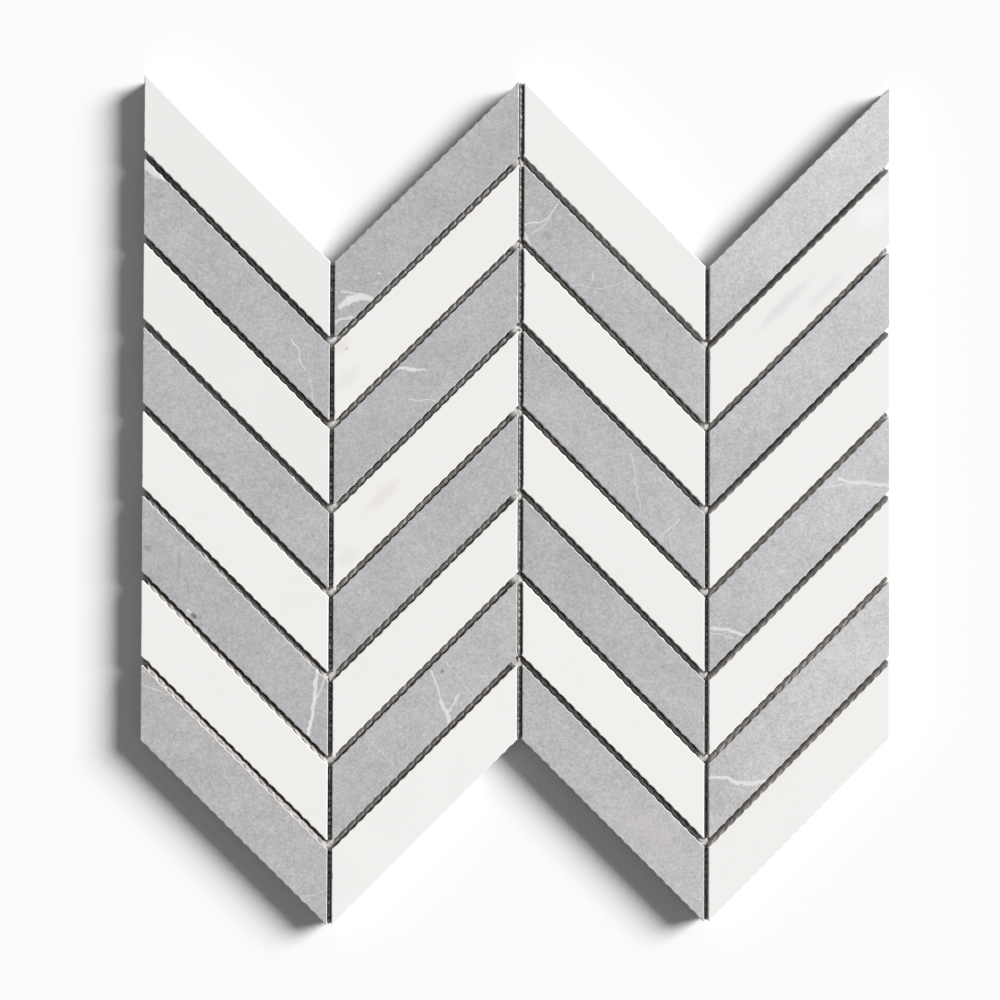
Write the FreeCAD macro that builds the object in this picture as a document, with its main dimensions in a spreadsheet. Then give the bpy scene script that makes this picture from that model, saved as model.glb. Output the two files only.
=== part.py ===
import FreeCAD, Part
import math
import os
import Sketcher
from FreeCAD import Vector

# A chevron mosaic sheet: strips of marble in slanting columns, face up, glued to a net of glass
# threads. The columns lean by turns one way and the other, so that the strips form chevrons.
# Frame: X across the columns, Y up the columns, Z out of the face. The origin is in the middle
# of the underside.

doc = FreeCAD.newDocument("ChevronMosaicSheet")

# Sizes in millimetres, angles in degrees. The first word is the name that every feature uses.
driving_sizes = [
    ("strip_width", 19.0, "a strip of stone, from one long edge to the other"),
    ("strip_length", 92.4, "a strip of stone, along a long edge"),
    ("strip_lean", 45.0, "slope of the long edges to the X axis"),
    ("stone_thickness", 9.6, "the stone alone"),
    ("corner_radius", 0.4, "rubbed corners of a strip, seen from above"),
    ("arris_bevel", 0.4, "eased edge round the polished face"),
    ("strip_joint", 1.9, "open joint between the strips of one column"),
    ("column_joint", 1.4, "open joint between two columns"),
    ("column_count", 4, "columns across the sheet"),
    ("strip_count", 8, "strips in a column"),
    ("mesh_pitch", 5.0, "glass threads, centre to centre, both ways"),
    ("thread_width", 0.9, "flattened thread with its coating"),
    ("net_thickness", 0.4, "the net under the stone, and its upright threads"),
    ("cross_thread_thickness", 0.3, "the threads across, half way up the upright ones"),
    ("net_margin", 1.0, "the net stops this far inside the outer edges of the stone"),
]

sheet = doc.addObject("Spreadsheet::Sheet", "Sizes")
for row, (name, value, meaning) in enumerate(driving_sizes, start=1):
    sheet.set(f"A{row}", name)
    sheet.set(f"B{row}", str(value))
    sheet.set(f"C{row}", meaning)
    sheet.setAlias(f"B{row}", name)
doc.recompute()

size = {name: float(sheet.get(name)) for name, value, meaning in driving_sizes}
column_count = int(size["column_count"])
strip_count = int(size["strip_count"])

# The same distances as spreadsheet expressions, for the features, and as numbers, for the net.
column_pitch_cells = "(Sizes.strip_length * cos(Sizes.strip_lean) + Sizes.column_joint)"
strip_pitch_cells = "((Sizes.strip_width + Sizes.strip_joint) / cos(Sizes.strip_lean))"
lean = math.radians(size["strip_lean"])
column_width = size["strip_length"] * math.cos(lean)
column_rise = size["strip_length"] * math.sin(lean)
column_pitch = column_width + size["column_joint"]
strip_side = size["strip_width"] / math.cos(lean)
strip_pitch = (size["strip_width"] + size["strip_joint"]) / math.cos(lean)


def columns_right_of_middle(column):
    return column - (column_count + 1) / 2


def strips_above_middle(strip):
    return (strip_count + 1) / 2 - strip


def lean_of(column):
    # The first column falls to the right, the next one rises, and so on.
    return -1 if column % 2 == 1 else 1


def colour_of(column, strip):
    return "white" if (column + strip) % 2 == 0 else "grey"


def origin_plane(body, role):
    return next(plane for plane in body.Origin.OriginFeatures if plane.Role == role)


def draw_strip(body, direction):
    """A parallelogram about the body's origin: upright ends, long edges at the strip's lean."""
    sketch = body.newObject("Sketcher::SketchObject", body.Name + "_outline")
    sketch.AttachmentSupport = [(origin_plane(body, "XY_Plane"), "")]
    sketch.MapMode = "FlatFace"

    half_width = column_width / 2
    half_rise = direction * column_rise / 2
    half_side = strip_side / 2
    corners = [
        Vector(-half_width, -half_rise - half_side, 0),
        Vector(-half_width, -half_rise + half_side, 0),
        Vector(half_width, half_rise + half_side, 0),
        Vector(half_width, half_rise - half_side, 0),
    ]
    left_end, upper_edge, right_end, lower_edge = range(4)
    start, end = 1, 2
    origin = (-1, 1)
    for corner, next_corner in zip(corners, corners[1:] + corners[:1]):
        sketch.addGeometry(Part.LineSegment(corner, next_corner), False)
    for line in range(4):
        sketch.addConstraint(Sketcher.Constraint("Coincident", line, end, (line + 1) % 4, start))
    sketch.addConstraint(Sketcher.Constraint("Vertical", left_end))
    sketch.addConstraint(Sketcher.Constraint("Vertical", right_end))
    sketch.addConstraint(Sketcher.Constraint("Parallel", upper_edge, lower_edge))
    sketch.addConstraint(
        Sketcher.Constraint("Symmetric", left_end, start, right_end, start, *origin))

    length = sketch.addConstraint(
        Sketcher.Constraint("Distance", upper_edge, size["strip_length"]))
    width = sketch.addConstraint(
        Sketcher.Constraint("Distance", left_end, start, upper_edge, size["strip_width"]))
    slope = sketch.addConstraint(
        Sketcher.Constraint("Angle", upper_edge, direction * lean))
    sketch.setExpression(f"Constraints[{length}]", "Sizes.strip_length")
    sketch.setExpression(f"Constraints[{width}]", "Sizes.strip_width")
    sketch.setExpression(f"Constraints[{slope}]", f"{direction} * Sizes.strip_lean")
    return sketch


def same(first, second):
    return abs(first - second) < 1e-6


def edges_where(shape, test):
    return [f"Edge{number}" for number, edge in enumerate(shape.Edges, start=1) if test(edge)]


def is_upright(edge):
    first, last = edge.Vertexes[0].Point, edge.Vertexes[-1].Point
    return same(first.x, last.x) and same(first.y, last.y)


def is_on_top(edge):
    return all(same(vertex.Point.z, size["stone_thickness"]) for vertex in edge.Vertexes)


# The strips of stone. Each stage is made for all of them before the next one reads its edges.
strips = []
for column in range(1, column_count + 1):
    for strip in range(1, strip_count + 1):
        name = f"{colour_of(column, strip)}_strip_{column}_{strip}"
        body = doc.addObject("PartDesign::Body", name)
        body.Label = name
        x_cells = f"{columns_right_of_middle(column)} * {column_pitch_cells}"
        y_cells = f"{strips_above_middle(strip)} * {strip_pitch_cells}"
        body.setExpression(".Placement.Base.x", x_cells)
        body.setExpression(".Placement.Base.y", y_cells)
        body.setExpression(".Placement.Base.z", "Sizes.net_thickness")
        slab = body.newObject("PartDesign::Pad", name + "_slab")
        slab.Profile = draw_strip(body, lean_of(column))
        slab.setExpression("Length", "Sizes.stone_thickness")
        body.Tip = slab
        strips.append(body)
doc.recompute()

for body in strips:
    slab = body.Tip
    rubbed = body.newObject("PartDesign::Fillet", body.Name + "_corners")
    rubbed.Base = (slab, edges_where(slab.Shape, is_upright))
    rubbed.setExpression("Radius", "Sizes.corner_radius")
    body.Tip = rubbed
doc.recompute()

for body in strips:
    rubbed = body.Tip
    eased = body.newObject("PartDesign::Chamfer", body.Name + "_arris")
    eased.Base = (rubbed, edges_where(rubbed.Shape, is_on_top))
    eased.setExpression("Size", "Sizes.arris_bevel")
    body.Tip = eased
doc.recompute()


def net_outline(column, half):
    """Corners of the net under one half of a column, in the sheet's frame, anticlockwise.

    Inside the sheet it reaches to the middle of the joints, and it meets its neighbours there.
    """
    middle = columns_right_of_middle(column) * column_pitch
    left = middle - column_pitch / 2
    right = middle + column_pitch / 2
    outer_trim = size["column_joint"] / 2 + size["net_margin"]
    if column == 1:
        left += outer_trim
    if column == column_count:
        right -= outer_trim

    half_height = (strip_count - 1) * strip_pitch / 2 + strip_side / 2
    half_height -= size["net_margin"] / math.cos(lean)

    def slanted(x, y_at_middle):
        return Vector(x, y_at_middle + lean_of(column) * (x - middle) * math.tan(lean), 0)

    if half == "upper":
        return [Vector(left, 0, 0), Vector(right, 0, 0),
                slanted(right, half_height), slanted(left, half_height)]
    return [slanted(left, -half_height), slanted(right, -half_height),
            Vector(right, 0, 0), Vector(left, 0, 0)]


def trimmed_to(outline, corners):
    """The part of a convex shape that lies inside a convex outline which runs anticlockwise."""
    for start, end in zip(outline, outline[1:] + outline[:1]):
        kept = []
        for point, after in zip(corners, corners[1:] + corners[:1]):
            here = (end - start).cross(point - start).z
            there = (end - start).cross(after - start).z
            if here >= 0:
                kept.append(point)
            if here * there < 0:
                kept.append(point + (after - point) * (here / (here - there)))
        corners = kept
    return corners


def thread(outline, anchor, low, high, bottom, top):
    """One flattened thread, from corner low to corner high, cut off at the net's outline.

    The corners and the outline are in the sheet's frame, and the thread is drawn about anchor.
    """
    corners = [Vector(low[0], low[1], bottom), Vector(high[0], low[1], bottom),
               Vector(high[0], high[1], bottom), Vector(low[0], high[1], bottom)]
    corners = trimmed_to(outline, corners)
    if len(corners) < 3:
        return None
    corners = [corner - anchor for corner in corners]
    face = Part.Face(Part.makePolygon(corners + corners[:1]))
    return face.extrude(Vector(0, 0, top - bottom))


def thread_middles(low, high):
    """The middles of the threads between two places. A window lies over the sheet's middle."""
    pitch = size["mesh_pitch"]
    first = math.floor(low / pitch)
    last = math.ceil(high / pitch)
    return [(number + 0.5) * pitch for number in range(first, last)]


def net_solid(outline, anchor):
    """Threads both ways, fused where they cross. Those across the sheet are the thinner ones."""
    left, right = min(p.x for p in outline), max(p.x for p in outline)
    bottom, top = min(p.y for p in outline), max(p.y for p in outline)
    half = size["thread_width"] / 2
    thick = size["net_thickness"]
    inset = (thick - size["cross_thread_thickness"]) / 2
    upright = [thread(outline, anchor, (x - half, bottom), (x + half, top), 0, thick)
               for x in thread_middles(left, right)]
    across = [thread(outline, anchor, (left, y - half), (right, y + half), inset, thick - inset)
              for y in thread_middles(bottom, top)]
    threads = [piece for piece in upright + across if piece]
    fused = threads[0].multiFuse(threads[1:])
    # A bit of thread that the slanting cut leaves loose at a point of the sheet falls away.
    return max(fused.Solids, key=lambda solid: solid.Volume)


nets = []
for column in range(1, column_count + 1):
    for half in ("upper", "lower"):
        name = f"net_{column}_{half}"
        anchor = Vector(columns_right_of_middle(column) * column_pitch, 0, 0)
        solid = net_solid(net_outline(column, half), anchor)
        net = doc.addObject("Part::Feature", name)
        net.Label = name
        net.Shape = solid
        net.Placement = FreeCAD.Placement(anchor, FreeCAD.Rotation())
        nets.append(net)
doc.recompute()

for item in doc.Objects:
    if "Invalid" in item.State or "Error" in item.State:
        raise RuntimeError(f"{item.Label} failed: {item.State}")
for piece in strips + nets:
    if piece.Shape.isNull() or not piece.Shape.isValid() or len(piece.Shape.Solids) != 1:
        raise RuntimeError(f"{piece.Label} is not one sound solid")

os.makedirs("parts", exist_ok=True)
for piece in strips + nets:
    piece.Shape.exportStep(f"parts/{piece.Label}.step")

stone_volume = sum(body.Shape.Volume for body in strips)
print(f"{len(strips)} strips, {stone_volume / 1000:.0f} cm3 of stone, {len(nets)} pieces of net")
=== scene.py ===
import math

import bmesh
import bpy
import numpy as np
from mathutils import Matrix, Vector


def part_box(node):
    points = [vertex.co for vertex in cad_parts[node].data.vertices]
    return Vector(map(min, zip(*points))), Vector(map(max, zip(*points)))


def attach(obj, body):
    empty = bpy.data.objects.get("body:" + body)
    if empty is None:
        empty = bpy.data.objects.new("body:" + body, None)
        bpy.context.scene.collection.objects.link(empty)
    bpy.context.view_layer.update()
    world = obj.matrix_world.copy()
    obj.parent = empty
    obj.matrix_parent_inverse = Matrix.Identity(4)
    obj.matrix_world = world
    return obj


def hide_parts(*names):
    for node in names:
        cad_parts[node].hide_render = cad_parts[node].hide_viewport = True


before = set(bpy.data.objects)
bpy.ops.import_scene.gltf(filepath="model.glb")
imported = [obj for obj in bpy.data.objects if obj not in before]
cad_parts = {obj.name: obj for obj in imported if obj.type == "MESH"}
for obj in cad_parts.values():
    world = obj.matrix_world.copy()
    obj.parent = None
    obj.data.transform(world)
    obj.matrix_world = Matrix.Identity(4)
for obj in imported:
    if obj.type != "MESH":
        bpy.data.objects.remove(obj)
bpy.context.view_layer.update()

# Chevron marble mosaic sheet: 32 strips of stone on a leno-woven net of glass threads
mm = 0.001

sawWave = 4.15   # mm, the long edges and the adhesive between them have the same wave

sheet = {
    "columns": 4,
    "strips": 8,
    "lean": math.radians(45),
    "top": 10.0,          # mm, the polished face above the underside
    "foot": 0.4,          # mm, the backs of the strips
    "meshPitch": 5.0,     # mm
    "stripJoint": 1.9,    # mm
    "columnJoint": 1.4,   # mm
    "halfLength": 46.2,   # mm, of a strip
}


class Field:
    # Wraps an output socket, so that shader maths reads as maths
    def __init__(self, bench, socket):
        self.bench = bench
        self.socket = socket

    def __add__(self, other):
        return self.bench.math("ADD", self, other)

    __radd__ = __add__

    def __sub__(self, other):
        return self.bench.math("SUBTRACT", self, other)

    def __rsub__(self, other):
        return self.bench.math("SUBTRACT", other, self)

    def __mul__(self, other):
        return self.bench.math("MULTIPLY", self, other)

    __rmul__ = __mul__

    def __truediv__(self, other):
        return self.bench.math("DIVIDE", self, other)

    def __pow__(self, other):
        return self.bench.math("POWER", self, other)

    def __abs__(self):
        return self.bench.math("ABSOLUTE", self)


class Bench:
    # The nodes of one owner, a material or the world
    def __init__(self, owner):
        self.owner = owner
        owner.use_nodes = True
        self.tree = owner.node_tree
        self.tree.nodes.clear()

    def add(self, kind, settings=None, inputs=None, output=0):
        node = self.tree.nodes.new(kind)
        for name, value in (settings or {}).items():
            setattr(node, name, value)
        for name, value in (inputs or {}).items():
            if isinstance(value, Field):
                self.tree.links.new(value.socket, node.inputs[name])
            else:
                node.inputs[name].default_value = value
        if isinstance(output, tuple):
            return [Field(self, node.outputs[name]) for name in output]
        return Field(self, node.outputs[output]) if node.outputs else None

    def math(self, operation, *values):
        return self.add("ShaderNodeMath", {"operation": operation}, dict(enumerate(values)))

    def vector(self, operation, *values, output="Vector"):
        return self.add("ShaderNodeVectorMath", {"operation": operation},
                        dict(enumerate(values)), output)

    def scaled(self, vector, factor):
        return self.add("ShaderNodeVectorMath", {"operation": "SCALE"},
                        {"Vector": vector, "Scale": factor}, "Vector")

    def dot(self, vector, direction):
        return self.vector("DOT_PRODUCT", vector, direction, output="Value")

    def noise(self, vector, scale, detail, rough):
        return self.add("ShaderNodeTexNoise", {"noise_dimensions": "3D"},
                        {"Vector": vector, "Scale": scale, "Detail": detail, "Roughness": rough})

    def ease(self, value, low, high):
        # 0 below low, 1 above high, smooth between
        return self.add("ShaderNodeMapRange", {"interpolation_type": "SMOOTHSTEP"},
                        {"Value": value, "From Min": low, "From Max": high})

    def larger(self, one, other):
        return self.math("MAXIMUM", one, other)

    def smaller(self, one, other):
        return self.math("MINIMUM", one, other)

    def blend(self, mask, one, other):
        # Colour one where mask is 0, colour other where it is 1
        return self.add("ShaderNodeMix", {"data_type": "RGBA"}, {0: mask, 6: one, 7: other}, 2)

    def bump(self, height):
        # height is in millimetres
        return self.add("ShaderNodeBump", {}, {"Height": height, "Distance": mm}, "Normal")

    def surface(self, inputs):
        shader = self.add("ShaderNodeBsdfPrincipled", {}, inputs)
        self.add("ShaderNodeOutputMaterial", {}, {"Surface": shader})
        return self.owner


def startFinish(name):
    look = Bench(bpy.data.materials.new(name))
    look.place = look.add("ShaderNodeTexCoord", output="Object")
    return look


def rgb(red, green, blue):
    # An sRGB colour of 0 to 255 as the shader's linear one
    def linear(level):
        level = level / 255
        return level / 12.92 if level <= 0.04045 else ((level + 0.055) / 1.055) ** 2.4
    return (linear(red), linear(green), linear(blue), 1.0)


marble = {
    "tones": {
        "bone": rgb(237, 236, 234),
        "white": rgb(240, 239, 237),
        "snow": rgb(242, 241, 239),
        "cool": rgb(180, 180, 182),
        "plain": rgb(183, 183, 185),
        "warm": rgb(183, 181, 182),
        "dove": rgb(187, 186, 187),
        "mild": rgb(187, 187, 189),
        "rosy": rgb(189, 187, 188),
        "pale": rgb(196, 195, 198),
        "ashen": rgb(201, 199, 200),
        "light": rgb(205, 204, 205),
    },
    "paintedLightRamp": {1: 0.015, 2: 0.02, 3: 0.06, 4: 0.09},   # painted light: how much paler a column's right ends are, standing in for light that falls more strongly from the right
    # how much each size of grain changes the tone
    "whiteGrain": {"cloud": 0.03, "patch": 0.012, "grain": 0.01},
    "greyGrain": {"cloud": 0.26, "patch": 0.28, "mottle": 0.38, "grain": 0.60, "salt": 0.4},
    "hairStrength": 0.22,   # faint lines, pale flecks and dark specks of all the grey stone
    "fleckStrength": 0.35,
    "speckStrength": 0.4,
    "alongDrift": 1.6,      # mm, how far the stone's own drift pulls its veins about
    "acrossDrift": 2.2,
    "fray": 0.7,            # mm, how frayed the edges of veins are
    "vein": rgb(228, 228, 229),
    "crack": rgb(132, 132, 136),
    "speck": rgb(140, 140, 142),
    # pale colour of the eased top edge, partly its ground tone and partly a painted highlight
    "arris": rgb(232, 232, 232),
    "whiteArrisPaleAndHighlight": 0.1,      # how much of that pale colour the eased edge takes on, partly its ground tone and partly a painted highlight along the edge
    "greyArrisPaleAndHighlight": 0.6,
    "dust": rgb(196, 193, 188),
    "adhesive": rgb(184, 181, 177),
    "gloss": 0.36,          # roughness of the honed face
    "sawn": 0.78,           # roughness of the sides
    "sawnWhiteToneAndShade": 0.74,      # how much of its lightness a sawn side of white stone keeps: partly the sawn stone's duller tone, partly painted shade against the low key light
    "sawnGreyToneAndShade": 0.82,
    "creep": 8.0,           # mm, how high adhesive may creep up a side
    "threadFilm": 1.5,      # mm, half the width of the film along each thread of the net
}

# The tone of each strip that isn't "white": column, strip
stripTones = {
    (1, 1): "bone", (1, 2): "plain", (1, 3): "bone", (1, 4): "plain", (1, 6): "cool",
    (1, 8): "warm",
    (2, 1): "cool", (2, 3): "plain", (2, 5): "plain", (2, 7): "dove", (2, 8): "snow",
    (3, 2): "mild", (3, 4): "mild", (3, 6): "plain", (3, 7): "snow", (3, 8): "rosy",
    (4, 1): "light", (4, 3): "pale", (4, 4): "snow", (4, 5): "pale", (4, 6): "snow",
    (4, 7): "ashen", (4, 8): "snow",
}

# Veins of the grey strips, in mm along and across them from their middles: points, width,
# strength, and "crack" where the line is dark
veins = {
    (1, 2): [([(-54, 8), (-50, 8), (-45.5, 9.5)], 2.4, 0.85),
             ([(25.5, 1.5), (30, 0.5), (33, -2), (36.5, -3)], 0.5, 0.75),
             ([(40.5, -4), (43, -6), (47, -8.5)], 0.45, 0.5)],
    (1, 6): [([(31.5, 9.2), (33, 7), (35, 4.5), (37.5, 2.5)], 1.1, 0.95),
             ([(37.5, 2.5), (40, -1.5), (42.5, -5), (45.5, -9.5)], 1.25, 0.95),
             ([(35, 8.5), (37, 5.5), (38, 3)], 0.6, 0.7),
             ([(-8, 8), (-4, 5)], 0.4, 0.3),
             ([(-31, 3.5), (-28, 0.5), (-25.5, -2.5)], 0.5, 0.5, "crack"),
             ([(-24, -0.5), (-21.5, -1.5), (-19, -4)], 0.5, 0.45, "crack"),
             ([(-15.5, -7.2), (-13, -7.8)], 0.8, 0.8),
             ([(-13.5, -6.8), (-11.5, -7.4), (-10.5, -6.2)], 0.6, 0.7, "crack")],
    (1, 8): [([(-51, 4.5), (-46, 6.5), (-41, 9)], 0.5, 0.55),
             ([(42.5, -8.5), (46.5, -1)], 0.4, 0.35)],
    (2, 1): [([(-46.5, -3), (-42.5, -4), (-39, -5.5), (-37, -8.5)], 2.1, 0.9),
             ([(-42, -3.6), (-39, -5.6)], 2.5, 0.9),
             ([(-42.5, 0.5), (-40.5, -2), (-38.5, -5)], 0.9, 0.6),
             ([(-52, -6), (-49, -6.5), (-46, -8.5)], 1.0, 0.7),
             ([(-35.5, 1), (-34.5, 0)], 0.9, 0.25),
             ([(-28.8, -4.6), (-28.2, -5.2)], 0.8, 0.7),
             ([(-32, -6), (-30.5, -7)], 0.8, 0.3)],
    (2, 3): [([(-6.4, 9.8), (-3.2, 6.4), (-1.5, 4.4)], 1.2, 0.9),
             ([(-1.5, 4.4), (1, 1.8)], 0.6, 0.85),
             ([(-10.5, -2), (-8, -5), (-5.5, -6.5), (-4, -8.8)], 0.5, 0.6)],
    (2, 5): [([(-2, 2.5), (-2.5, -2.5)], 0.4, 0.35)],
    (2, 7): [([(11, 8.5), (9.8, 4.5), (8, 1.2), (7.2, -0.4), (6, -2)], 0.7, 0.75),
             ([(6, -2), (4.8, -5.5), (3.8, -8), (2.8, -9.6)], 1.4, 0.85),
             ([(12, -4.3), (9, -5.5), (5.2, -6.2)], 0.95, 0.7),
             ([(17, 7), (16.5, 0.5), (16, -4), (15.5, -9.5)], 0.35, 0.5),
             ([(24, 9), (23.5, 3.5)], 0.3, 0.3),
             ([(25, 2), (18, 2.5)], 0.35, 0.35),
             ([(21.5, -5), (24, -7.5)], 0.35, 0.5),
             ([(-21, 9), (-21.5, -9)], 0.3, 0.3)],
    (3, 2): [([(-40, -6), (-39, -3.5), (-36.5, -0.5), (-36, 3.5), (-37, 8)], 0.6, 0.75),
             ([(-38, -8.3), (-35, -8.9), (-32.3, -9.4)], 0.9, 0.85),
             ([(-36, -6.5), (-35, -1.5), (-35.5, 3)], 0.5, 0.6),
             ([(-10.8, -0.3), (-9, -2)], 0.45, 0.6),
             ([(-13.5, -9), (-8, -4.5), (-4.5, -2), (-1.5, 4.5), (0, 7.5)], 0.4, 0.5)],
    (3, 4): [([(2.5, 6), (7.5, 3), (11.5, -0.5), (14, -2.5), (19, -5.5)], 0.55, 0.5),
             ([(31.5, 2), (31.5, -2), (30.5, -7)], 0.55, 0.6),
             ([(33, -5), (37.5, -8)], 0.6, 0.3)],
    (3, 6): [([(29.5, -6.5), (29, 2)], 0.4, 0.3)],
    (3, 8): [([(-18, 4), (-12, 7)], 0.35, 0.25)],
    (4, 1): [([(23.5, 7), (28.5, 1), (35, -3.5)], 0.45, 0.5)],
    (4, 3): [([(-22, -3), (-14, 2)], 0.35, 0.25)],
    (4, 5): [([(18.5, 9), (23, 6.5), (26.5, 3.5), (29, 1.5)], 0.5, 0.7),
             ([(26.5, 6.5), (29, 2), (32, -1), (35, -5), (39, -9.5)], 1.3, 0.9),
             ([(-44.5, 2), (-42.5, 0), (-40, -3.5), (-36.5, -10)], 1.2, 0.9),
             ([(-46, 1), (-43.5, -2), (-40.5, -7)], 0.45, 0.6)],
    (4, 7): [([(-40, 6), (-35.5, 1), (-34.5, -2.5)], 1.4, 0.95),
             ([(-34.5, -2.5), (-31, -6), (-26.5, -9.7)], 1.6, 0.95)],
}

# Soft stains and dark flecks: middle, half length, half width, colour, strength
stains = {
    (2, 2): [((-34.5, 5.5), 0.8, 0.6, rgb(176, 166, 140), 0.7),
             ((-35, 8), 4, 3, rgb(222, 215, 205), 0.35),
             ((-42, -2), 7, 3, rgb(226, 220, 214), 0.3)],
    (2, 4): [((-20, 1.5), 9, 2.5, rgb(226, 217, 206), 0.4),
             ((-44, -5), 5, 3, rgb(222, 216, 208), 0.3)],
    (4, 2): [((40, 3), 8, 5, rgb(246, 246, 246), 0.8),
             ((-6, 2), 14, 2.2, rgb(216, 215, 214), 0.5),
             ((8, -5), 10, 2.0, rgb(220, 219, 219), 0.4)],
    (1, 6): [((-41, -2.5), 1.8, 1.2, rgb(128, 128, 131), 0.55),
             ((-38, 0), 5.0, 3.0, rgb(166, 166, 168), 0.4),
             ((-30, 0), 7.0, 4.0, rgb(172, 172, 174), 0.35),
             ((-12.9, -7.7), 1.3, 0.8, rgb(84, 84, 86), 0.85)],
    (2, 7): [((14, 5.5), 0.9, 0.6, rgb(110, 112, 114), 0.75)],
    (3, 2): [((-31.5, -2.5), 2.2, 1.6, rgb(140, 140, 142), 0.4)],
    (3, 8): [((20, 0), 14, 5, rgb(198, 192, 190), 0.4)],
}


def unitsOf(lean):
    # Directions along a strip and across it, seen from above
    return (math.cos(lean), math.sin(lean), 0.0), (-math.sin(lean), math.cos(lean), 0.0)


def veinMask(look, along, across, points, width, strength, breakup):
    # A line of stone of another colour, between points in mm
    mask = None
    for (a0, c0), (a1, c1) in zip(points, points[1:]):
        length = math.hypot(a1 - a0, c1 - c0)
        ux, uy = (a1 - a0) / length, (c1 - c0) / length
        t = (along - a0) * ux + (across - c0) * uy
        off = (across - c0) * ux - (along - a0) * uy
        past = look.larger(look.larger(0.0 - t, t - length), 0.0)
        reach = (off * off + past * past) ** 0.5
        part = look.ease(1.3 - reach / (0.5 * width * breakup), 0.0, 0.8)
        mask = part if mask is None else look.larger(mask, part)
    return mask * strength


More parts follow.
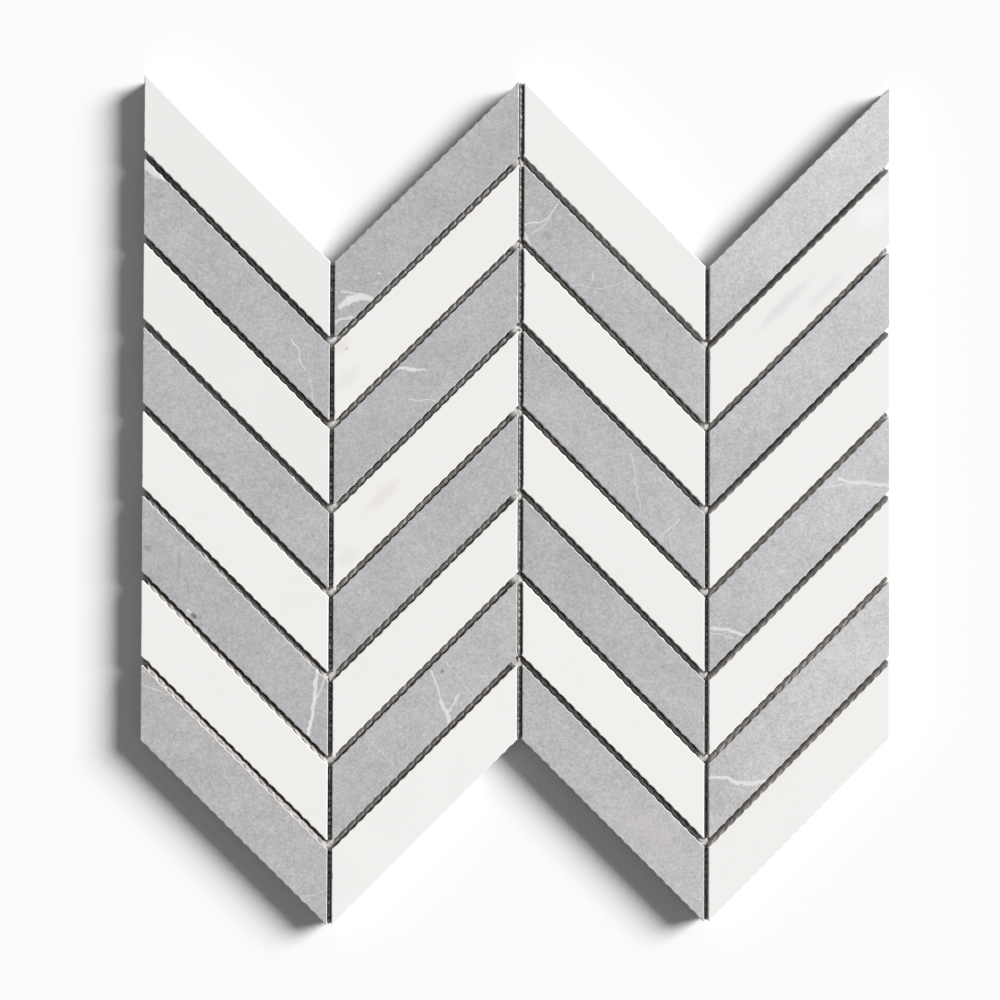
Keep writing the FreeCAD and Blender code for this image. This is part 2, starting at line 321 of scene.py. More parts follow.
def marbleFinish(name, centre, lean, tone, seed, paintedLightRamp, lines, spots):
    look = startFinish(name)
    white = tone in ("bone", "white", "snow")
    local = look.scaled(look.vector("SUBTRACT", look.place, (centre.x, centre.y, 0.0)), 1000.0)
    rock = look.vector("ADD", local, seed)              # mm, in a block of stone of its own
    alongUnit, acrossUnit = unitsOf(lean)
    height = look.dot(local, (0, 0, 1))
    facing = look.dot(look.add("ShaderNodeNewGeometry", output="True Normal"), (0, 0, 1))

    # the stone itself
    cloud = look.noise(rock, 0.05, 4, 0.55)
    patch = look.noise(rock, 0.22, 3, 0.6)
    grain = look.noise(rock, 1.5, 2, 0.7)
    salt = look.noise(rock, 3.2, 1, 0.5)
    layers = {"cloud": cloud, "patch": patch, "grain": grain, "salt": salt}
    if not white:
        layers["mottle"] = look.noise(rock, 0.75, 2, 0.6)
    level = 1
    for layer, share in marble["whiteGrain" if white else "greyGrain"].items():
        level = level + (layers[layer] - 0.5) * share
    # painted light: the grey stone grows paler towards its right end, as if lit more strongly
    # from the right
    if not white:
        level = level + look.dot(local, alongUnit) * (paintedLightRamp / sheet["halfLength"])
    colour = look.scaled(marble["tones"][tone][:3], level)

    # veins and stains, pulled about by the stone's own drift
    along = look.dot(local, alongUnit) + (patch - 0.5) * marble["alongDrift"]
    sway = look.noise(rock, 0.3, 1, 0.5)
    across = look.dot(local, acrossUnit) + (sway - 0.5) * marble["acrossDrift"]
    across = across + (grain - 0.5) * marble["fray"]
    if lines:
        breakup = 0.45 + look.noise(rock, 0.6, 1.5, 0.6) * 1.1
        for points, width, strength, *shade in lines:
            mask = veinMask(look, along, across, points, width, strength, breakup)
            colour = look.blend(mask, colour, marble[shade[0] if shade else "vein"])
    for (a, c), halfLength, halfWidth, shade, strength in spots:
        reach = (((along - a) / halfLength) ** 2.0 + ((across - c) / halfWidth) ** 2.0) ** 0.5
        mask = look.ease(1.3 - reach, 0.0, 1.0) * strength
        colour = look.blend(mask, colour, shade)
    if not white:
        # faint hairlines and pale flecks that all the grey stone has
        drift = look.noise(rock, 0.09, 3, 0.6)
        hair = look.ease(1 - abs(drift - 0.5) * 160, 0.0, 1.0) * look.ease(patch, 0.5, 0.66)
        fleck = look.ease(look.noise(rock, 0.8, 2, 0.5), 0.70, 0.78)
        speck = look.ease(look.noise(rock, 1.3, 1, 0.5), 0.71, 0.80)
        colour = look.blend(hair * marble["hairStrength"], colour, marble["vein"])
        colour = look.blend(fleck * marble["fleckStrength"], colour, marble["vein"])
        colour = look.blend(speck * marble["speckStrength"], colour, marble["speck"])

    # the eased arris is ground, not polished, and is made paler: partly its own ground tone,
    # partly a painted highlight along the edge
    polished = sheet["top"]
    edge = look.ease(height, polished - 0.55, polished - 0.3)
    arris = edge * look.ease(polished - 0.005 - height, 0.0, 0.05)
    pale = marble["whiteArrisPaleAndHighlight" if white else "greyArrisPaleAndHighlight"]
    colour = look.blend(arris * pale, colour, marble["arris"])

    # sawn sides: saw lines, dust, adhesive that crept up, and a darker tone that is partly their
    # own and partly painted shade
    sawLines = look.noise(look.vector("MULTIPLY", rock, (0.05, 0.05, 3.2)), 1.0, 3, 0.6)
    grime = look.noise(rock, 0.35, 4, 0.6)
    side = look.ease(polished - 0.25 - height, 0.0, 0.25) * look.ease(facing, -0.8, -0.6)
    sideColour = look.blend(0.15 + grime * 0.35, colour, marble["dust"])
    # painted shade, together with the sawn stone's own duller tone: the sides are darkened so the
    # low key light doesn't clip them to white
    dullToneAndShade = marble["sawnWhiteToneAndShade" if white else "sawnGreyToneAndShade"]
    sideColour = look.scaled(sideColour, (0.92 + sawLines * 0.14) * dullToneAndShade)
    creep = look.ease(grime * marble["creep"] - height, 0.0, 1.5) * 0.7
    sideColour = look.blend(creep, sideColour, marble["adhesive"])
    colour = look.blend(side, colour, sideColour)

    # backs: a film of adhesive along the threads of the net
    sheetPlace = look.scaled(look.place, 1.0 / (sheet["meshPitch"] * mm))
    gaps = []
    for axis in look.add("ShaderNodeSeparateXYZ", {}, {"Vector": sheetPlace}, ("X", "Y")):
        turn = look.math("FRACT", axis + 100.0)
        gaps.append(abs(turn - 0.5) * sheet["meshPitch"])
    toThread = look.smaller(*gaps)
    film = look.ease(marble["threadFilm"] + (grime - 0.5) * 3.0 - toThread, 0.0, 0.5)
    back = look.ease(0.0 - facing, 0.6, 0.8)
    backColour = look.blend(0.25 + grime * 0.3, look.scaled(colour, 0.95), marble["dust"])
    backColour = look.blend(film * 0.85, backColour, marble["adhesive"])
    colour = look.blend(back, colour, backColour)

    notTop = look.larger(side, back)
    wear = look.noise(rock, 0.6, 3, 0.6)
    rough = marble["gloss"] + (wear - 0.5) * 0.12 + notTop * (marble["sawn"] - marble["gloss"])
    rough = rough + arris * 0.2 - back * film * 0.35
    topHeight = grain * 0.006 + salt * 0.003 + wear * 0.01
    rawHeight = sawLines * 0.10 + grain * 0.05 + film * back * 0.12
    relief = topHeight + notTop * rawHeight
    return look.surface({
        "Base Color": colour,
        "Roughness": rough,
        "Normal": look.bump(relief),
        "IOR": 1.49,
        "Specular IOR Level": 0.35,
    })


def addPiece(name, points, faces, material):
    mesh = bpy.data.meshes.new(name)
    mesh.from_pydata([tuple(p) for p in points], [], faces)
    tidy = bmesh.new()
    tidy.from_mesh(mesh)
    bmesh.ops.remove_doubles(tidy, verts=tidy.verts, dist=2e-6)
    bmesh.ops.recalc_face_normals(tidy, faces=tidy.faces)
    for face in tidy.faces:
        face.smooth = len(face.verts) <= 8    # large ends stay flat
    tidy.to_mesh(mesh)
    tidy.free()
    mesh.materials.append(material)
    piece = bpy.data.objects.new(name, mesh)
    bpy.context.scene.collection.objects.link(piece)
    return piece


def joinRings(rings):
    # Quads between rings of the same length, with a face on the first and last one
    count = len(rings[0])
    points = [p for ring in rings for p in ring]
    faces = []
    for level in range(len(rings) - 1):
        for i in range(count):
            j = (i + 1) % count
            low, high = level * count, (level + 1) * count
            faces.append((low + i, low + j, high + j, high + i))
    faces.append(tuple(reversed(range(count))))
    last = (len(rings) - 1) * count
    faces.append(tuple(range(last, last + count)))
    return points, faces


def roughLine(rng, length, wave, places):
    # A smooth random line of mean 0 and height about 1 that closes on itself
    knots = max(4, int(length / wave))
    values = rng.uniform(-1, 1, knots)
    at = np.arange(knots) * length / knots
    return np.interp(places, at, values, period=length)


strips = {
    "step": 0.55,            # mm between points along an edge
    "footBevel": 0.18,       # mm
    "arris": 0.26,           # mm, how far the eased edge reaches in
    "arrisWander": 0.05,     # mm
    "edgeWander": 0.03,      # mm, unevenness of a sawn side
    "waistHeight": 5.0,      # mm, a ring of points half way up a side
    "scallop": (-0.16, 0.20),    # mm, the saw's wave on the long edges, out and in
    "nicks": 16,             # small chips on each strip
    "nickDepth": (0.08, 0.34),   # mm
    "nickLength": (0.4, 1.7),    # mm, half of it
    # mm, how far the ends stand back from the joint on the right of each column
    "endPull": {0: 0.0, 1: 0.1, 2: 0.28, 3: 0.1, 4: 0.0},
    "waveRoom": 3.0,         # mm, nearer to a corner the wave fades
    "pullRoom": 0.8,         # mm, and here the ends come forward again
}


def footOutline(node):
    # The strip's outline at its foot, anticlockwise, in mm, read from the CAD node
    low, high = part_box(node)
    middle = (low + high) / 2
    foot = set()
    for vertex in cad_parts[node].data.vertices:
        if vertex.co.z < low.z + 0.01 * mm:
            foot.add((round(vertex.co.x / mm, 3), round(vertex.co.y / mm, 3)))
    cx, cy = middle.x / mm, middle.y / mm
    return sorted(foot, key=lambda p: math.atan2(p[1] - cy, p[0] - cx))


def finerOutline(corners, step):
    # Long edges cut up, with outward directions and the distance to the nearest corner
    points, onCorner = [], []
    for here, after in zip(corners, corners[1:] + corners[:1]):
        length = math.dist(here, after)
        pieces = max(1, round(length / step)) if length > 2 else 1
        for i in range(pieces):
            share = i / pieces
            points.append((here[0] + (after[0] - here[0]) * share,
                           here[1] + (after[1] - here[1]) * share))
            onCorner.append(i == 0)
    points = np.array(points)
    before, after = np.roll(points, 1, axis=0), np.roll(points, -1, axis=0)

    def outward(way):
        way = way / np.linalg.norm(way, axis=1)[:, None]
        return np.stack([way[:, 1], -way[:, 0]], axis=1)

    normals = outward(points - before) + outward(after - points)
    normals /= np.linalg.norm(normals, axis=1)[:, None]
    cornerPoints = points[np.array(onCorner)]
    room = np.min(np.linalg.norm(points[:, None] - cornerPoints[None], axis=2), axis=1)
    run = np.concatenate([[0], np.cumsum(np.linalg.norm(after - points, axis=1))])
    return points, normals, room, run[:-1], run[-1]


def buildStrip(name, node, column, lean, rng, material):
    points, normals, room, run, length = finerOutline(footOutline(node), strips["step"])
    away = 0.5 * strips["edgeWander"] * (1 + roughLine(rng, length, 9.0, run))
    wave = np.abs(np.sin(math.pi * (points @ np.array(unitsOf(lean)[0][:2])) / sawWave)) ** 0.7
    onLongEdge = np.abs(normals @ np.array(unitsOf(lean)[1][:2])) > 0.95
    out, inward = strips["scallop"]
    away += onLongEdge * (out + (inward - out) * wave)
    away *= np.clip(room / strips["waveRoom"], 0, 1)
    pull = (strips["endPull"][column] * (normals[:, 0] > 0.95)
            + strips["endPull"][column - 1] * (normals[:, 0] < -0.95))
    away += np.clip(room / strips["pullRoom"], 0, 1) * pull
    arris = strips["arris"] + strips["arrisWander"] * (
        0.6 * roughLine(rng, length, 4.0, run) + 0.6 * roughLine(rng, length, 1.1, run))
    for nick in range(strips["nicks"]):
        at = rng.uniform(0, length)
        half = rng.uniform(*strips["nickLength"])
        depth = rng.uniform(*strips["nickDepth"]) * rng.uniform(0.4, 1)
        gap = np.abs((run - at + length / 2) % length - length / 2)
        chip = np.clip(1 - (gap / half) ** 2, 0, 1) ** 1.5
        arris = arris + depth * chip * (1 + 0.3 * roughLine(rng, length, 0.8, run))
    arris = np.minimum(arris, 0.34 + 0.35 * room)

    def ring(inset, z):
        places = points - normals * np.asarray(inset)[..., None]
        z = np.broadcast_to(z, len(points))
        return [(x * mm, y * mm, h * mm) for (x, y), h in zip(places, z)]

    foot, top = sheet["foot"], sheet["top"]
    rings = [ring(np.full(len(points), strips["footBevel"]), foot),
             ring(away, foot + strips["footBevel"]),
             ring(away, strips["waistHeight"])]
    for turn in (0, 30, 60, 90):
        c, s = math.cos(math.radians(turn)), math.sin(math.radians(turn))
        rings.append(ring(away + arris * (1 - c), top - arris * (1 - s)))
    shape, faces = joinRings(rings)
    return addPiece(name, shape, faces, material)


stripCount = 0
for column in range(1, sheet["columns"] + 1):
    lean = sheet["lean"] * (-1 if column % 2 else 1)
    for strip in range(1, sheet["strips"] + 1):
        stone = "white" if (column + strip) % 2 == 0 else "grey"
        node = f"{stone}_strip_{column}_{strip}"
        low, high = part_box(node)
        tone = stripTones.get((column, strip), "white")
        seed = (37.0 * column + 11.0 * strip, 53.0 * strip - 29.0 * column,
                17.0 * (column + strip))
        finish = marbleFinish(f"{stone}Marble{column}{strip}", (low + high) / 2, lean, tone, seed,
                              marble["paintedLightRamp"][column], veins.get((column, strip), ()),
                              stains.get((column, strip), ()))
        rng = np.random.default_rng(100 * column + strip)
        piece = buildStrip(f"{stone}_marble_{column}_{strip}", node, column, lean, rng, finish)
        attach(piece, "root")
        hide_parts(node)
        stripCount += 1
print(f"stone: {stripCount} strips")


net = {
    "yarnHalfWidth": 0.21,    # mm, each of the two twisted yarns
    "yarnHalfThick": 0.062,
    "yarnSway": 0.24,         # mm, how far the two yarns part between the cross threads
    "yarnLift": 0.135,        # mm, over and under the cross threads
    "yarnStep": 1.0,          # mm
    "crossHalfWidth": 0.42,   # mm, the flat cross threads
    "crossHalfThick": 0.066,
    "crossStep": 1.6,         # mm
    "drift": 0.10,            # mm, threads are never quite straight
    "threadHalfWidth": 0.45,  # mm, room that a thread needs inside the net's outline
    "shortest": 1.5,          # mm, shorter ends of thread fall away
    "coating": rgb(196, 191, 181),
    "fibre": rgb(222, 219, 212),
    "dirt": rgb(128, 120, 108),
}


def threadFinish(name):
    look = startFinish(name)
    place = look.scaled(look.place, 1000.0)
    soak = look.noise(place, 0.7, 3, 0.6)
    strands = look.noise(look.vector("MULTIPLY", place, (6.0, 6.0, 2.0)), 1.0, 2, 0.5)
    grime = look.noise(place, 0.25, 3, 0.6)
    colour = look.blend(look.ease(soak, 0.35, 0.65), net["coating"], net["fibre"])
    colour = look.blend(look.ease(grime, 0.45, 0.75) * 0.55, colour, net["dirt"])
    colour = look.scaled(colour, 0.85 + strands * 0.3)
    rough = 0.45 + strands * 0.3
    return look.surface({"Base Color": colour, "Roughness": rough,
                         "Normal": look.bump(strands * 0.03 + soak * 0.02)})


def hullOf(node):
    # Convex outline of a node seen from above, anticlockwise, in mm
    places = sorted({(round(v.co.x / mm, 3), round(v.co.y / mm, 3))
                     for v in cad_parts[node].data.vertices})

    def half(points):
        kept = []
        for p in points:
            while len(kept) > 1 and ((kept[-1][0] - kept[-2][0]) * (p[1] - kept[-2][1])
                                     - (kept[-1][1] - kept[-2][1]) * (p[0] - kept[-2][0])) <= 0:
                kept.pop()
            kept.append(p)
        return kept[:-1]
    return half(places) + half(places[::-1])


def reachAt(outline, axis, at):
    # From where to where a thread runs inside the outline
    lows, highs = [], []
    for place in (at - net["threadHalfWidth"], at + net["threadHalfWidth"]):
        hits = []
        for p, q in zip(outline, outline[1:] + outline[:1]):
            if (p[axis] - place) * (q[axis] - place) <= 0 and p[axis] != q[axis]:
                share = (place - p[axis]) / (q[axis] - p[axis])
                hits.append(p[1 - axis] + (q[1 - axis] - p[1 - axis]) * share)
        if len(hits) < 2:
            return None
        lows.append(min(hits))
        highs.append(max(hits))
    low, high = max(lows), min(highs)
    return (low, high) if high - low > net["shortest"] else None


def flatTube(centres, across, halfWidth, halfThick, sides):
    # A flattened yarn along its centre line; across is the direction of its width
    rings = []
    for centre in centres:
        ring = []
        for i in range(sides):
            angle = 2 * math.pi * (i + 0.5) / sides
            wide = halfWidth * math.cos(angle) / math.cos(math.pi / sides)
            thick = halfThick * math.sin(angle) / math.cos(math.pi / sides)
            ring.append(((centre[0] + across[0] * wide) * mm,
                         (centre[1] + across[1] * wide) * mm,
                         (centre[2] + thick) * mm))
        rings.append(ring)
    return joinRings(rings)


def gather(parts):
    points, faces = [], []
    for somePoints, someFaces in parts:
        start = len(points)
        points += somePoints
        faces += [tuple(start + i for i in face) for face in someFaces]
    return points, faces


def wander(at, key):
    # Slow drift of a thread off its straight line, the same wherever it is cut
    return net["drift"] * (math.sin(at / 17.0 + key * 2.4) + 0.6 * math.sin(at / 7.3 + key * 5.1))


netMiddle = sheet["foot"] / 2


def uprightThread(x, low, high):
    # Two yarns twisted round each other, one over and one under each cross thread
    pitch = sheet["meshPitch"]
    count = max(2, round((high - low) / net["yarnStep"]))
    made = []
    for way in (-1, 1):
        centres = []
        for y in np.linspace(low, high, count + 1):
            turn = math.pi * y / pitch
            centres.append((x + wander(y, x) * 0.5 + way * net["yarnSway"] * math.cos(turn), y,
                            netMiddle + way * net["yarnLift"] * math.sin(turn)))
        made.append(flatTube(centres, (1, 0), net["yarnHalfWidth"], net["yarnHalfThick"], 4))
    return made


def crossThread(y, low, high):
    count = max(2, round((high - low) / net["crossStep"]))
    centres = [(x, y + wander(x, y), netMiddle) for x in np.linspace(low, high, count + 1)]
    return [flatTube(centres, (0, 1), net["crossHalfWidth"], net["crossHalfThick"], 6)]


def threadMiddles(low, high):
    pitch = sheet["meshPitch"]
    return [(n + 0.5) * pitch for n in range(math.floor(low / pitch), math.ceil(high / pitch))]


threadLook = threadFinish("coatedGlassThread")
for column in range(1, sheet["columns"] + 1):
    for half in ("upper", "lower"):
        node = f"net_{column}_{half}"
        outline = hullOf(node)
        parts = []
        xs, ys = [p[0] for p in outline], [p[1] for p in outline]
        for x in threadMiddles(min(xs), max(xs)):
            reach = reachAt(outline, 0, x)
            if reach:
                parts += uprightThread(x, *reach)
        for y in threadMiddles(min(ys), max(ys)):
            reach = reachAt(outline, 1, y)
            if reach:
                parts += crossThread(y, *reach)
        points, faces = gather(parts)
        piece = addPiece(f"woven_net_{column}_{half}", points, faces, threadLook)
        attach(piece, "root")
        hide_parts(node)
print("net: 8 pieces of leno weave")


adhesive = {
    "step": 0.45,              # mm along a joint
    "endGap": 0.15,            # mm, left free at the sheet's outer edges
    "uprightGap": 0.65,        # mm, left free at the ends of the upright joints
    "dip": 0.6,                # share of its height that the adhesive loses at the outer ends
    "longDip": 16.0,           # mm, in the first joint
    "shortDip": 3.0,           # mm, in the others
    "swell": (0.5, 6.0),       # mm, height and length of the film's own waves
    "sag": 0.28,               # share of its height lost at the sides where it doesn't climb
    "jitter": 0.15,            # mm, how far the lumps lie off their places
    "crust": 0.035,            # mm, roughness of the skin
    "limit": 9.4,              # mm, it never reaches the face of the stone
    "plateau": 3.5,            # how flat it is on both sides of a step that climbs
    "filmColour": rgb(176, 172, 169),
    "lumpColour": rgb(192, 187, 182),
    "dabColour": rgb(190, 188, 185),
    "filmHeights": (3.0, 7.0),   # mm, between these the film turns into the colour of lumps
    "dabHeights": (4.0, 8.0),    # mm, between these a lump turns into the colour of dabs
}

# Joints of each column, the first and the last one: height of the film in mm, how far in mm the
# adhesive climbs towards the upper side, and where its step lies, from -1, the lower side, to 1,
# the upper one. The lumps stand on the film, in mm.
slantingJoints = {
    1: {"film": (5.8, 5.9), "lumps": (0.3, 0.8), "climb": (0.0, -3.3), "step": (0.0, 0.35)},
    2: {"film": (6.9, 6.9), "lumps": (0.4, 1.0), "climb": (-0.3, -0.9), "step": (0.0, 0.0)},
    3: {"film": (6.5, 6.5), "lumps": (0.5, 1.1), "climb": (1.2, -0.6), "step": (0.0, 0.0)},
    4: {"film": (6.7, 5.4), "lumps": (0.4, 0.9), "climb": (-0.3, -3.3), "step": (-0.5, 0.2)},
}
# The same for the joints under the grey strips of a column, where they are deeper
deeperJoints = {
    4: {"film": (5.9, 5.9), "lumps": (0.2, 0.7), "climb": (-2.8, -3.4), "step": (-0.4, -0.2)},
}
# The same for the upright joints, where it climbs to the right or, if less than 0, to the left
uprightJoints = {
    1: {"film": 6.2, "lumps": (0.6, 2.4), "climb": -0.3},
    2: {"film": 8.4, "lumps": (0.2, 0.8), "climb": -0.7},
    3: {"film": 5.6, "lumps": (0.4, 1.6), "climb": 0.7},
}
# In mm. The bottom is among the threads, and not in one plane with that of another kind
slantingLumps = {"pitch": sawWave, "halfLength": (1.45, 1.85), "bottom": 0.16}
uprightLumps = {"pitch": 2.3, "halfLength": (0.4, 1.1), "bottom": 0.20}
dabs = {    # in mm, and for each upright joint where there are three
    "height": {1: (7.7, 8.1), 2: (8.6, 8.9), 3: (7.8, 8.2)},
    "halfWidth": {1: (2.4, 3.0), 2: (3.0, 3.6), 3: (2.1, 2.9)},
    "halfLength": (2.3, 3.1),
    "aside": {1: 0.0, 2: -1.5, 3: -1.2},    # to the right of the joint's middle
    "above": {1: 0.5, 2: -1.2, 3: 0.5},
    "stray": (0.3, 0.5),    # across and up, either way
    "crown": 0.38,          # from 0, flat on top, to 1, a cone
    "unevenness": 0.07,     # share of the width
    "sides": 16,
    "levels": 8,
    "bottom": 0.25,
}


def adhesiveFinish(name, thin, thick, heights):
    look = startFinish(name)
    place = look.scaled(look.place, 1000.0)
    height = look.dot(place, (0, 0, 1))
    lumps = look.noise(place, 1.1, 4, 0.65)
    weave = look.noise(place, 3.0, 2, 0.6)
    grime = look.noise(place, 0.2, 3, 0.6)
    mask = look.ease(height + (lumps - 0.5) * 1.6, *heights)
    colour = look.blend(mask, thin, thick)
    blotch = look.ease(look.noise(place, 0.75, 2, 0.6), 0.38, 0.62)
    colour = look.scaled(colour, 0.55 + lumps * 0.25 + weave * 0.25 + blotch * 0.4)
    colour = look.blend(look.ease(grime, 0.5, 0.8) * 0.3, colour, marble["dust"])
    return look.surface({"Base Color": colour, "Roughness": 0.70 + lumps * 0.25,
                         "Specular IOR Level": 0.3,
                         "Normal": look.bump(lumps * 0.2 + weave * 0.1)})


def adhesiveRun(start, end, side, span, film, lumpHeights, climb, stepAt, dip, lumpShape, rng):
    # Adhesive in one joint, in mm: its cross sections lie along side and are span wide
    start, end, side = np.array(start), np.array(end), np.array(side)
    length = float(np.linalg.norm(end - start))
    lumps = []
    at = lumpShape["pitch"] / 2 - float(start @ (end - start)) / length % lumpShape["pitch"]
    while at < length:
        lumps.append((at + rng.uniform(-adhesive["jitter"], adhesive["jitter"]),
                      rng.uniform(*lumpHeights), rng.uniform(*lumpShape["halfLength"])))
        at += lumpShape["pitch"]
    count = round(length / adhesive["step"])
    stations = np.linspace(0, length, count + 1)
    swell, wave = adhesive["swell"]
    film = film + swell * roughLine(rng, length, wave, stations)
    sink = 1 - adhesive["dip"] * np.clip(1 - stations / dip, 0, 1) ** 0.5 if dip else 1 + 0 * film
    shares = np.array([-1.06, -0.9, -0.65, -0.33, 0.0, 0.33, 0.65, 0.9, 1.06])
    crown = 1 - adhesive["sag"] * np.abs(shares) ** 3 * (abs(climb) < 1)
    step = climb * np.tanh(adhesive["plateau"] * (shares - stepAt))
    rings = []
    for i, at in enumerate(stations):
        rise = 0.0
        for middle, height, half in lumps:
            if abs(at - middle) < half:
                rise = max(rise, height * (1 - ((at - middle) / half) ** 4) ** 0.5)
        skin = rng.uniform(-1, 1, len(shares)) * adhesive["crust"]
        tops = np.minimum(((film[i] + rise) * crown + step) * sink[i] + skin, adhesive["limit"])
        middle = start + (end - start) * at / length
        across = [middle + side * share * span / 2 for share in shares]
        ring = [(p[0] * mm, p[1] * mm, top * mm) for p, top in zip(across, tops)]
        ring += [(p[0] * mm, p[1] * mm, lumpShape["bottom"] * mm)
                 for p in (across[-1], across[0])]
        rings.append(ring)
    return joinRings(rings)


def adhesiveDab(x, y, heights, halfWidths, rng):
    # A lump squeezed up where four strips meet, in mm
    height = rng.uniform(*heights)
    spread = (rng.uniform(*halfWidths), rng.uniform(*dabs["halfLength"]))
    rings = []
    for level in range(dabs["levels"] + 1):
        turn = math.radians(89 * level / dabs["levels"])
        ring = []
        for i in range(dabs["sides"]):
            angle = 2 * math.pi * i / dabs["sides"]
            uneven = 1 + rng.uniform(-dabs["unevenness"], dabs["unevenness"])
            swell = math.cos(turn) ** dabs["crown"] * uneven
            ring.append(((x + spread[0] * math.cos(angle) * swell) * mm,
                         (y + spread[1] * math.sin(angle) * swell) * mm,
                         (dabs["bottom"] + height * math.sin(turn)) * mm))
        rings.append(ring)
    return joinRings(rings)


def middleHeight(column, strip):
    # Height of a strip's middle, and its column's middle and half width, all in mm
    stone = "white" if (column + strip) % 2 == 0 else "grey"
    low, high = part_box(f"{stone}_strip_{column}_{strip}")
    return (low.y + high.y) / 2 / mm, (low.x + high.x) / 2 / mm, (high.x - low.x) / 2 / mm


def fixAdhesive(name, parts, material):
    points, faces = gather(parts)
    piece = addPiece(name, points, faces, material)
    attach(piece, "root")


filmLook = adhesiveFinish("adhesiveInJoints", adhesive["filmColour"], adhesive["lumpColour"],
                          adhesive["filmHeights"])
dabLook = adhesiveFinish("adhesiveDabs", adhesive["lumpColour"], adhesive["dabColour"],
                         adhesive["dabHeights"])
jointSide = sheet["stripJoint"] / math.cos(sheet["lean"])    # mm, a slanting joint, up the sheet
for column in range(1, sheet["columns"] + 1):
    rng = np.random.default_rng(500 + column)
    slope = math.tan(sheet["lean"]) * (-1 if column % 2 else 1)
    runs = []
    for strip in range(1, sheet["strips"]):
        above, x, half = middleHeight(column, strip)
        below = middleHeight(column, strip + 1)[0]
        y = (above + below) / 2
        reach = half - adhesive["endGap"]
        underGrey = (column + strip) % 2 == 1
        kinds = deeperJoints if underGrey and column in deeperJoints else slantingJoints
        joint = kinds[column]
        film, climb, stepAt = [np.interp(strip, (1, sheet["strips"] - 1), joint[part])
                               for part in ("film", "climb", "step")]
        dip = 0.0 if column > 1 else adhesive["longDip" if strip == 1 else "shortDip"]
        runs.append(adhesiveRun((x - reach, y - slope * reach), (x + reach, y + slope * reach),
                                (0, 1), jointSide, film, joint["lumps"], climb, stepAt, dip,
                                slantingLumps, rng))
    fixAdhesive(f"adhesive_column_{column}", runs, filmLook)

for column in range(1, sheet["columns"]):
    rng = np.random.default_rng(700 + column)
    slope = math.tan(sheet["lean"]) * (-1 if column % 2 else 1)
    middles = [middleHeight(column, strip) for strip in range(1, sheet["strips"] + 1)]
    x, half = middles[0][1], middles[0][2]
    halfSide = (middles[0][0] - middles[1][0] - jointSide) / 2
    top = middles[0][0] + slope * half + halfSide - adhesive["uprightGap"]
    bottom = middles[-1][0] + slope * half - halfSide + adhesive["uprightGap"]
    x += half + sheet["columnJoint"] / 2
    joint = uprightJoints[column]
    span = sheet["columnJoint"] + 2 * strips["endPull"][column]
    run = adhesiveRun((x, bottom), (x, top), (1, 0), span, joint["film"], joint["lumps"],
                      joint["climb"], 0.0, 0.0, uprightLumps, rng)
    fixAdhesive(f"adhesive_between_columns_{column}", [run], filmLook)
    nodes = []
    across, up = dabs["stray"]
    for above, below in zip(middles, middles[1:]):
        y = (above[0] + below[0]) / 2 + slope * half
        nodes.append(adhesiveDab(x + dabs["aside"][column] + rng.uniform(-across, across),
                                 y + dabs["above"][column] + rng.uniform(-up, up),
                                 dabs["height"][column], dabs["halfWidth"][column], rng))
    fixAdhesive(f"adhesive_dabs_{column}", nodes, dabLook)
print("adhesive: film, lumps and dabs")


stage = {
    "floorHalf": 4.0,                 # m
    "level": 0.98,                    # light on a surface that faces up, 1 renders as written
    "floorColour": rgb(253, 253, 253),
    "floorGlow": 0.5,                 # how much of the floor's light falls back on the stone
    "ambient": 0.17,                  # share of the light that comes from all round
    "sunAzimuth": math.radians(24.4),   # from +X towards +Y
    "sunHeight": math.radians(32.5),
    "sunWidth": math.radians(27),
}
camera = {
    "place": (-50.0, -15.0, 770.0),   # mm
    "turn": (0.963, -4.025, 0.195),   # degrees
    "focal": 2.150,                   # in frame widths
    "shift": (-0.030, 0.0069),
}


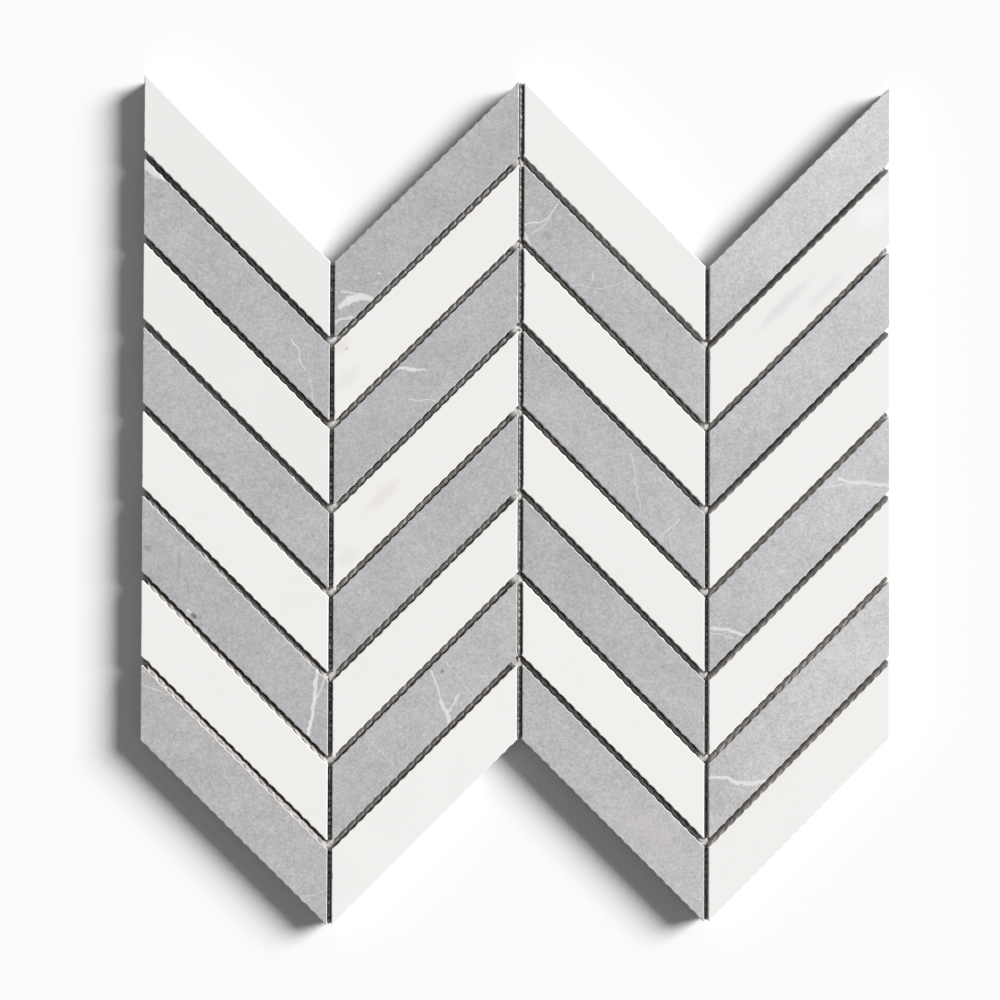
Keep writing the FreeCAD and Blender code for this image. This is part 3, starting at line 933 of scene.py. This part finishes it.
def directlySeen(bench):
    # 1 for what the camera sees, also in gloss or through glass, and 0 for light on the object
    byCamera, byGloss, throughGlass = bench.add("ShaderNodeLightPath", output=(
        "Is Camera Ray", "Is Glossy Ray", "Is Transmission Ray"))
    return bench.larger(bench.larger(byCamera, byGloss), throughGlass)


floorLook = startFinish("paleFloor")
floorShade = floorLook.noise(floorLook.place, 3.0, 2, 0.5)
floorSeen = directlySeen(floorLook)
floorFinish = floorLook.surface({
    "Base Color": floorLook.scaled(stage["floorColour"][:3], (0.995 + floorShade * 0.01) * (
        stage["floorGlow"] + (1 - stage["floorGlow"]) * floorSeen)),
    "Roughness": 1.0, "Specular IOR Level": 0.0})
reach = stage["floorHalf"]
floor = addPiece("floor", [(-reach, -reach, 0), (reach, -reach, 0), (reach, reach, 0),
                           (-reach, reach, 0)], [(0, 1, 2, 3)], floorFinish)

world = bpy.data.worlds.new("studio")
bpy.context.scene.world = world
studio = Bench(world)
seen = directlySeen(studio)
light = studio.add("ShaderNodeBackground", {}, {
    "Color": (1, 1, 1, 1),
    "Strength": stage["ambient"] * stage["level"] * (1 - seen) + seen})
studio.add("ShaderNodeOutputWorld", {}, {"Surface": light})

sun = bpy.data.lights.new("softKey", "SUN")
sun.angle = stage["sunWidth"]
sun.energy = (1 - stage["ambient"]) * stage["level"] * math.pi / math.sin(stage["sunHeight"])
sunObject = bpy.data.objects.new("softKey", sun)
towards = Vector((math.cos(stage["sunHeight"]) * math.cos(stage["sunAzimuth"]),
                  math.cos(stage["sunHeight"]) * math.sin(stage["sunAzimuth"]),
                  math.sin(stage["sunHeight"])))
sunObject.rotation_euler = (-towards).to_track_quat("-Z", "Y").to_euler()
sunObject.location = towards
bpy.context.scene.collection.objects.link(sunObject)

lens = bpy.data.cameras.new("camera")
lens.lens = camera["focal"] * lens.sensor_width
lens.shift_x, lens.shift_y = camera["shift"]
lens.clip_start, lens.clip_end = 0.01, 20.0
cameraObject = bpy.data.objects.new("camera", lens)
cameraObject.location = Vector(camera["place"]) * mm
cameraObject.rotation_euler = [math.radians(turn) for turn in camera["turn"]]
bpy.context.scene.collection.objects.link(cameraObject)
bpy.context.scene.camera = cameraObject
bpy.context.scene.view_settings.view_transform = "Standard"

print("scene ready")
